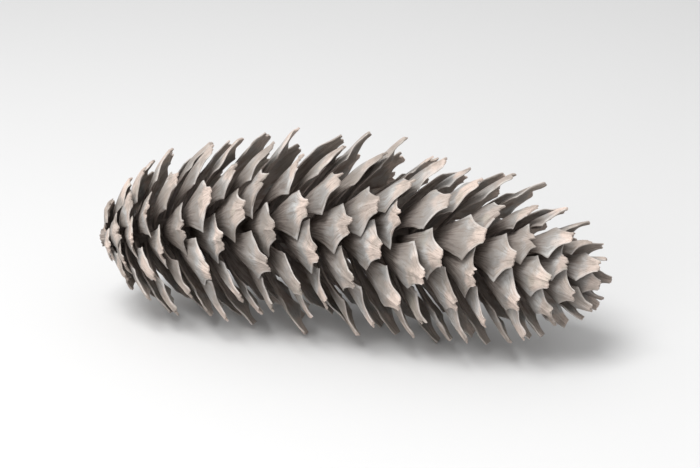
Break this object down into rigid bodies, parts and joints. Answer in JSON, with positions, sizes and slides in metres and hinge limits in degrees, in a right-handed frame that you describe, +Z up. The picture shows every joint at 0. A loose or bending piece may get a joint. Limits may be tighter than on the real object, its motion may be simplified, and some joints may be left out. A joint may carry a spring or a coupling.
{
  "type": "spruce cone",
  "caption": "Open spruce cone lying on its side: an arched woody axis with a stub of stalk, clothed in thin rhombic scales with blunt tongues set in spirals.",
  "frame": {"origin": "centre of the bounding box on the surface that the cone lies on", "axes": "+X along the cone from the stalk to its own tip, +Y away from the side shown in the picture, +Z up"},
  "size_m": [0.1366, 0.0524, 0.0522],
  "materials": {
    "weathered_scale": "matt, weathered pale grey over tan and brown wood"
  },
  "bodies": {
    "root": {"spruce_cone": "weathered_scale"}
  },
  "joints": []
}
